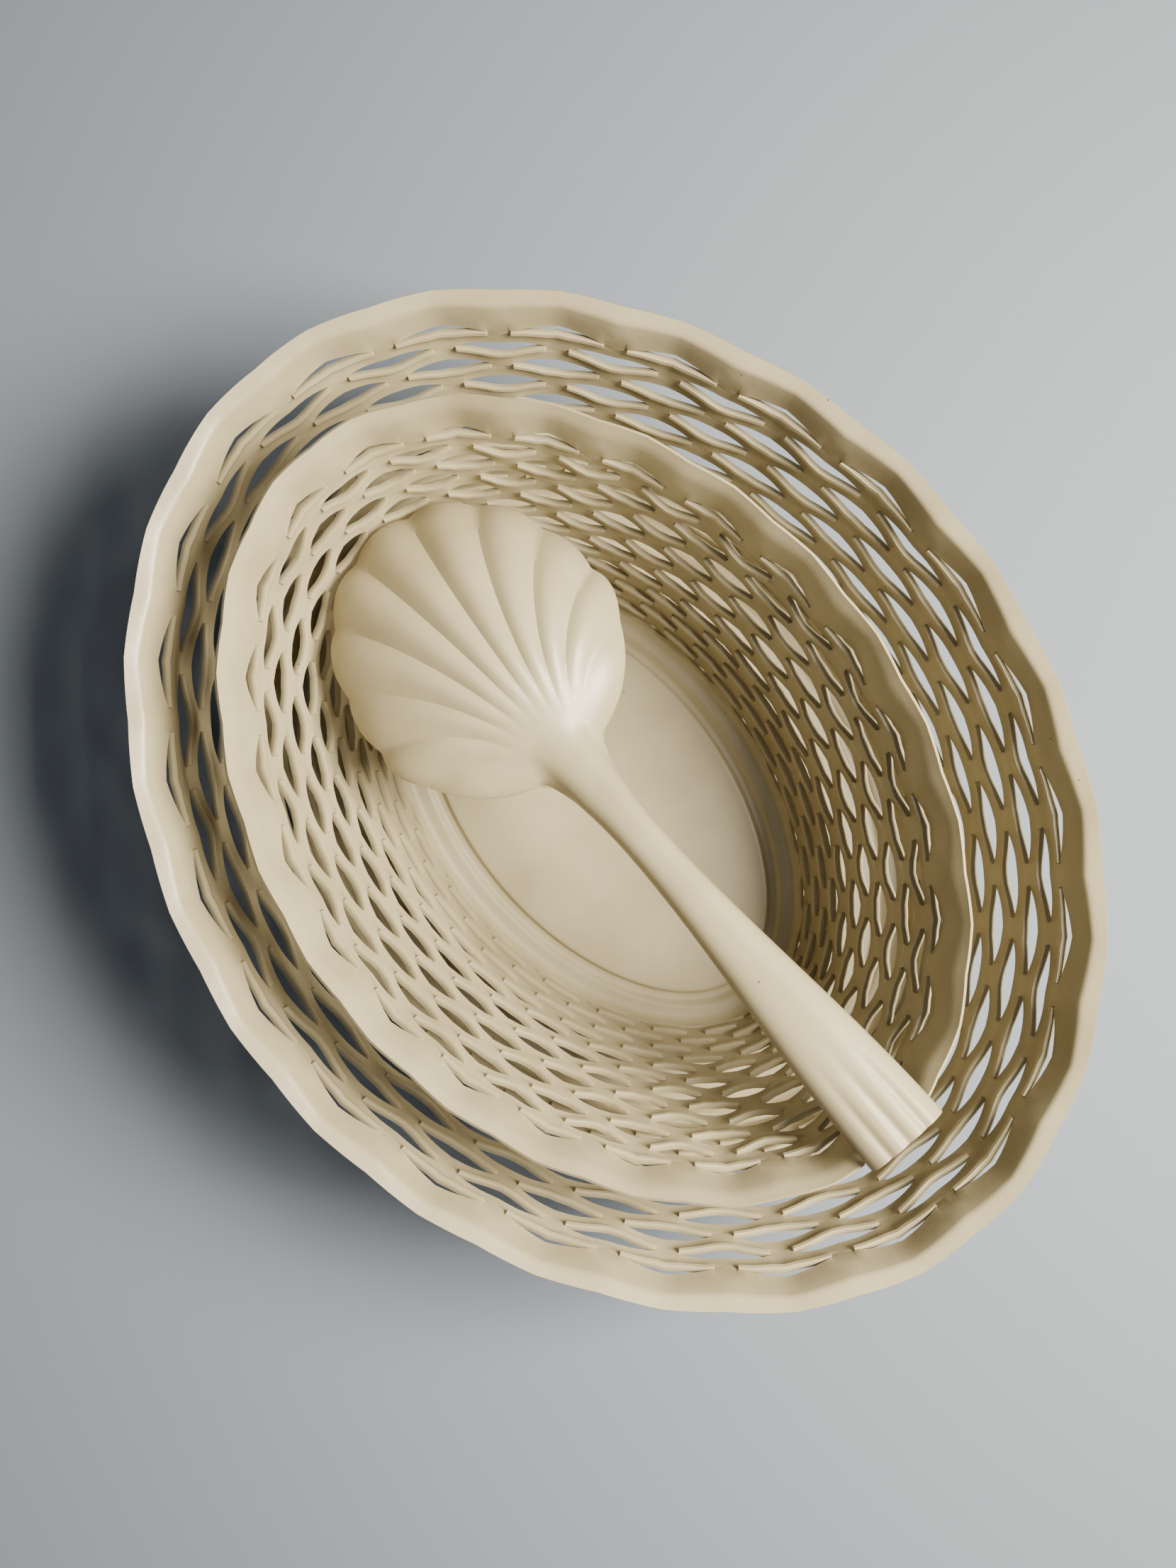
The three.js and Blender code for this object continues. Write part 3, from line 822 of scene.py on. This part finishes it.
@dataclass
class Ladle:
    """A ribbed shell with a channel handle, lying hollow side down.

    Its own frame has X from the ribs' hinge along the handle, and Z up from the plane of its edges.
    """

    handle_reach: float = 135.0  # from the hinge to the handle's end, mm
    place: Matrix = field(default_factory=lambda: Matrix.Identity(4))
    sheet: Sheet = field(default_factory=Sheet)
    shell_length: float = 94.0
    shell_width: float = 82.0
    shell_rise: float = 18.5
    shell_rounding: float = 0.66
    lobes: int = 11
    lobe_angle: float = math.radians(13)
    shell_spread: float = math.radians(86)
    lobe_notch: float = 2.6
    side_swell: float = 0.13  # how much further than an ellipse the lobes beside the neck reach
    rib_relief: float = 3.4
    rib_pull: float = 0.42  # how strongly the ribs leave the neck along the axis
    neck_radius: float = 12.0
    neck_length: float = 13.0
    waist: float = 31.0
    width_start: float = 14.2
    width_waist: float = 12.1
    width_end: float = 24.2
    handle_rise: float = 6.5
    squareness: float = 2.6
    flutes: int = 4
    flute_length: float = 36.0
    flute_depth: float = 0.9
    columns_per_lobe: int = 12
    shell_rows: int = 52
    neck_rows: int = 12
    handle_rows: int = 66

    @property
    def columns(self) -> int:
        """Panels across the whole width."""
        return self.lobes * self.columns_per_lobe

    def lobe(self, column: int) -> float:
        """A column's place among the lobes: whole numbers are crests."""
        return column / self.columns_per_lobe - self.lobes / 2

    def bearing(self, column: int) -> float:
        """The direction of a column's end on the shell's edge, from the hinge."""
        lobe, last = self.lobe(column), self.lobes / 2
        beyond = max(0.0, abs(lobe) - (last - 1))
        spare = self.shell_spread - self.lobe_angle * last
        return math.copysign(abs(lobe) * self.lobe_angle + beyond * spare, lobe)

    def crest(self, column: int) -> float:
        """One on a crest and nought in a groove, round on top and sharp below."""
        lobe = self.lobe(column)
        if abs(lobe) > self.lobes / 2 - 0.5:
            return 1.0
        wave = math.cos(math.pi * (lobe - round(lobe)))
        return math.sqrt(wave * wave + 0.006) / math.sqrt(1.006)

    def reach(self, column: int) -> float:
        """From the hinge to the shell's edge: an ellipse through the hinge, notched at grooves."""
        c, s = math.cos(self.bearing(column)), math.sin(self.bearing(column))
        stretch = (self.shell_length / self.shell_width) ** 2
        ellipse = self.shell_length * c / (c * c + stretch * s * s)
        notch = self.lobe_notch * (1 - self.crest(column))
        return max(ellipse * self.swell(column) - notch, self.neck_radius + 0.5)

    def swell(self, column: int) -> float:
        """How much further than the ellipse the shell reaches along a column."""
        bearing = math.degrees(abs(self.bearing(column)))
        grown = smoothstep(35, 62, bearing) * (1 - smoothstep(74, 86, bearing))
        return 1 + self.side_swell * float(grown)

    def dome(self, x: float, y: float) -> float:
        """The shell's height without its ribs."""
        along = (x + self.shell_length / 2) / (self.shell_length / 2)
        across = y / (self.shell_width / 2)
        inside = max(0.0, 1 - along * along - across * across)
        return self.shell_rise * inside**self.shell_rounding

    def shell_point(self, column: int, share: float) -> Vector:
        """A point of the shell, from its edge at a share of nought to the neck at one."""
        bearing, reach = self.bearing(column), self.reach(column)
        away = Vector((-math.cos(bearing), math.sin(bearing)))
        edge, neck = away * reach, away * self.neck_radius
        leave = (away * (1 - self.rib_pull) + Vector((-1.0, 0.0)) * self.rib_pull).normalized()
        bend = neck + leave * (reach - self.neck_radius) * 0.5
        t = 1 - share
        flat = neck * (1 - t) ** 2 + bend * 2 * t * (1 - t) + edge * t * t
        spread = max(0.0, (flat.length - self.neck_radius) / (self.shell_length - self.neck_radius))
        fade = float(smoothstep(0.0, 0.25, spread))
        relief = self.rib_relief * spread**0.6 * fade * self.crest(column)
        swell = self.swell(column)
        return Vector((flat.x, flat.y, self.dome(flat.x / swell, flat.y / swell) + relief))

    def handle_width(self, x: float) -> float:
        """The handle's width at a distance from the hinge."""
        if x < self.waist:
            share = (self.waist - x) / (self.waist - self.neck_length)
            return self.width_waist + (self.width_start - self.width_waist) * share**2
        share = smoothstep(self.waist, self.handle_reach, x)
        return self.width_waist + (self.width_end - self.width_waist) * share

    def handle_point(self, column: int, x: float) -> Vector:
        """A point of the handle's channel, its edges down on the plane."""
        angle = math.pi * (column / self.columns - 0.5)
        power = 2 / self.squareness
        across = math.copysign(abs(math.sin(angle)) ** power, angle)
        up = max(0.0, math.cos(angle)) ** power
        ramp = float(smoothstep(self.handle_reach - self.flute_length, self.handle_reach, x))
        groove = abs(math.cos(math.pi * self.flutes * (across + 1) / 2))
        inner = 1.0 if abs(across) < 1 - 1 / self.flutes else 0.0
        depth = self.flute_depth * ramp * groove**3 * inner
        y = across * (self.handle_width(x) - self.sheet.thickness) / 2
        return Vector((x, y, up * (self.handle_rise - depth)))

    def neck_point(self, column: int, share: float) -> Vector:
        """A point between the shell and the handle, on a curve that leaves and joins smoothly."""
        start, end = self.shell_point(column, 1.0), self.handle_point(column, self.neck_length)
        before = self.shell_point(column, 0.97)
        after = self.handle_point(column, self.neck_length + 1)
        span = (end - start).length
        step = start - before
        leave = step.normalized() if step.length > 1e-6 else Vector((1, 0, 0))
        join = (after - end).normalized()
        a, b = start + leave * span / 3, end - join * span / 3
        s, t = share, 1 - share
        return start * t**3 + a * 3 * t * t * s + b * 3 * t * s * s + end * s**3

    def lines(self) -> list[list[Vector]]:
        """Rows of points across the ladle, from the shell's edge to the handle's end."""
        across = range(self.columns + 1)
        rows = [
            [self.shell_point(c, (i / self.shell_rows) ** 1.35) for c in across]
            for i in range(self.shell_rows + 1)
        ]
        rows += [
            [self.neck_point(c, i / (self.neck_rows + 1)) for c in across]
            for i in range(1, self.neck_rows + 1)
        ]
        run = self.handle_reach - self.neck_length
        rows += [
            [self.handle_point(c, self.neck_length + run * i / self.handle_rows) for c in across]
            for i in range(self.handle_rows + 1)
        ]
        return rows

    def build(self) -> bpy.types.Object:
        """Draws the blank to shape and thickens it.

        Returns:
            The ladle's object, dressed in nothing yet.
        """
        lines = self.lines()
        bm, grid = self.sheet.blank(self.columns, len(lines) - 1)
        through = bm.verts.layers.float_vector["through"]
        for line, points in zip(grid, lines):
            for v, p in zip(line, points):
                v.co = p * MM
        bm.normal_update()
        up = Vector((0, 0, 1))
        for v in bm.verts:
            v[through] = v.normal if v.normal.dot(up) >= 0 or abs(v.normal.z) < 0.3 else -v.normal
        if sum(v.normal.z for v in bm.verts) < 0:
            for v in bm.verts:
                v[through] = -v.normal
        self.sheet.thicken(bm, through)
        bmesh.ops.transform(bm, matrix=self.place, verts=bm.verts[:])
        return self.sheet.finish(bm, "shell_ladle_pressing")

    def dress(self, made: bpy.types.Object, coat: bpy.types.Material) -> None:
        """Coats the ladle and hands it to its body."""
        made.data.materials.append(coat)
        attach(made, Body.LADLE.value)
        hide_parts("shell_ladle")


# ---- the set ------------------------------------------------------------------------------------


@dataclass
class DrainingSet:
    """The two baskets and the ladle where the frame has them."""

    nest_turn: float = math.radians(-1)
    ladle_pitch: float = math.radians(12.2)
    ladle_yaw: float = math.radians(1.43)
    ladle_axis_offset: float = 2.6
    handle_overhang: float = 1.2
    gap: float = 0.3  # clearance where the handle rests
    wall_gap: float = 2.2  # between the shell's tip and the middle of the wall's sheet
    seat_steps: int = 40  # halvings in the search for the ladle's seat

    def baskets(self) -> list[Basket]:
        """The baskets, the small one stood where its frame node is.

        Returns:
            The large basket and the small one.
        """
        low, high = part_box("inner_basket")
        stand = Matrix.Translation(((low.x + high.x) / 2, (low.y + high.y) / 2, low.z))
        return [
            Basket(
                "outer_basket", Body.OUTER_BASKET, Slot.OUTER_BASKET, length=311, width=245,
                height=88, flare_run=3.7, flare_drop=1.8, band_height=9.0, wall_lean=0.36,
                slit_rings=12, flare_round=1.6,
            ),
            Basket(
                "inner_basket", Body.INNER_BASKET, Slot.INNER_BASKET, length=242, width=174,
                height=96.5, flare_run=2.4, flare_drop=3.2, band_height=9.8, wall_lean=0.316,
                slit_rings=13, flare_round=4.0,
                place=stand @ Matrix.Rotation(self.nest_turn, 4, "Z"),
            ),
        ]

    def ladle(self, small: Basket) -> Ladle:
        """The ladle, laid with its tip against the small basket's wall and its handle on the rim.

        Args:
            small: The small basket.

        Returns:
            The ladle.
        """
        ladle = Ladle()
        half = small.sheet.thickness / 2
        rim_x = small.length / 2 - half
        rim_top = small.height + half * math.sin(math.atan2(small.flare_run, small.flare_drop))
        yaw = self.ladle_yaw - self.nest_turn
        spin = Matrix.Rotation(yaw, 4, "Z") @ Matrix.Rotation(-self.ladle_pitch, 4, "Y")
        slope = math.tan(self.ladle_pitch)
        rim = small.plan(0.0)[0]
        front = rim[rim[:, 0] > 0]
        edge = [spin @ ladle.shell_point(c, 0.0) for c in range(ladle.columns + 1)]

        def hinge(x: float) -> Vector:
            """Where the hinge is when it lies at x: the handle just clears the rim under it."""
            across = self.ladle_axis_offset + (rim_x - x) * math.tan(yaw)
            under = front[np.abs(front[:, 1] - across) <= ladle.width_end / 2]
            z = rim_top + self.gap / math.cos(self.ladle_pitch) - (under[:, 0].min() - x) * slope
            return Vector((x, self.ladle_axis_offset, z))

        free, blocked = rim_x - ladle.shell_length / 2, -rim_x
        for _ in range(self.seat_steps):
            middle = (free + blocked) / 2
            if all(small.holds(p + hinge(middle), self.wall_gap) for p in edge):
                free = middle
            else:
                blocked = middle
        ladle.handle_reach = (rim_x + self.handle_overhang - free) / math.cos(self.ladle_pitch)
        ladle.place = small.place @ Matrix.Translation(hinge(free) * MM) @ spin
        return ladle


@dataclass(frozen=True)
class SoftLamp:
    """A square soft light that faces the set. Its place and size are in metres."""

    name: str
    place: tuple[float, float, float]
    size: float
    power: float  # watts
    colour: str
    aim_height: float = 0.05

    def hang(self) -> None:
        """Puts the lamp in the scene."""
        lamp = bpy.data.lights.new(self.name, "AREA")
        lamp.shape = "SQUARE"
        lamp.size = self.size
        lamp.energy = self.power
        lamp.color = linear(self.colour)[:3]
        made = bpy.data.objects.new(self.name, lamp)
        made.location = self.place
        towards = -Vector(self.place) + Vector((0, 0, self.aim_height))
        made.rotation_euler = towards.to_track_quat("-Z", "Y").to_euler()
        bpy.context.scene.collection.objects.link(made)


@dataclass(frozen=True)
class Studio:
    """The room: a dim cool air, two soft lamps and a matt floor."""

    air: str = "b8c0cc"
    air_strength: float = 0.05
    window: SoftLamp = SoftLamp("window", (0.27, 0.345, 0.58), 0.30, 23.5, "fff7ea")
    ceiling: SoftLamp = SoftLamp("ceiling", (0.05, 0.15, 1.9), 1.3, 4.5, "e6ebf4")
    floor_reach: float = 3.0

    def build(self) -> None:
        """Lights the set softly from its far side, as a window does, and lays the floor."""
        world = bpy.context.scene.world or bpy.data.worlds.new("studio_air")
        bpy.context.scene.world = world
        world.use_nodes = True
        backdrop = world.node_tree.nodes["Background"]
        backdrop.inputs["Color"].default_value = linear(self.air)
        backdrop.inputs["Strength"].default_value = self.air_strength
        self.window.hang()
        self.ceiling.hang()
        bm = bmesh.new()
        bmesh.ops.create_grid(bm, x_segments=2, y_segments=2, size=self.floor_reach)
        mesh = bpy.data.meshes.new("floor")
        bm.to_mesh(mesh)
        bm.free()
        floor = bpy.data.objects.new("floor", mesh)
        floor.data.materials.append(Plaster("matt_plaster").material())
        bpy.context.scene.collection.objects.link(floor)


@dataclass(frozen=True)
class Viewpoint:
    """Looks down on the set from almost straight above, its long axis laid aslant."""

    lens: float = 27.05
    place: tuple[float, float, float] = (0.0, -0.0009, 0.4115)
    back: tuple[float, float, float] = (0.0213, 0.00535, 1.0)  # from the set to the camera
    right: tuple[float, float, float] = (0.640, 0.768, 0.0)
    clip: tuple[float, float] = (0.01, 20.0)

    def build(self) -> None:
        """Puts the camera in the scene and makes it the scene's own."""
        lens = bpy.data.cameras.new("camera")
        lens.lens = self.lens
        lens.clip_start, lens.clip_end = self.clip
        made = bpy.data.objects.new("camera", lens)
        back = Vector(self.back).normalized()
        right = Vector(self.right)
        right = (right - back * right.dot(back)).normalized()
        turn = Matrix((right, back.cross(right), back)).transposed()
        made.matrix_world = Matrix.Translation(self.place) @ turn.to_4x4()
        bpy.context.scene.collection.objects.link(made)
        bpy.context.scene.camera = made


def main() -> None:
    """Builds the set, the studio and the camera."""
    logging.basicConfig(level=logging.INFO)
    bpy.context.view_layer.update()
    Viewpoint().build()
    Studio().build()
    whole = DrainingSet()
    coats = {
        Slot.OUTER_BASKET: PowderCoat("cream_powder_coat_outer").material(),
        Slot.INNER_BASKET: PowderCoat("cream_powder_coat_inner").material(),
        Slot.LADLE: PowderCoat("cream_powder_coat_ladle", peel_depth_mm=0.03).material(),
    }
    large, small = whole.baskets()
    for piece, slot in ((large, large.slot), (small, small.slot), (whole.ladle(small), Slot.LADLE)):
        made = piece.build()
        piece.dress(made, coats[slot])
        log.info("%s: %d faces", made.name, len(made.data.polygons))


if __name__ == "__main__":
    main()
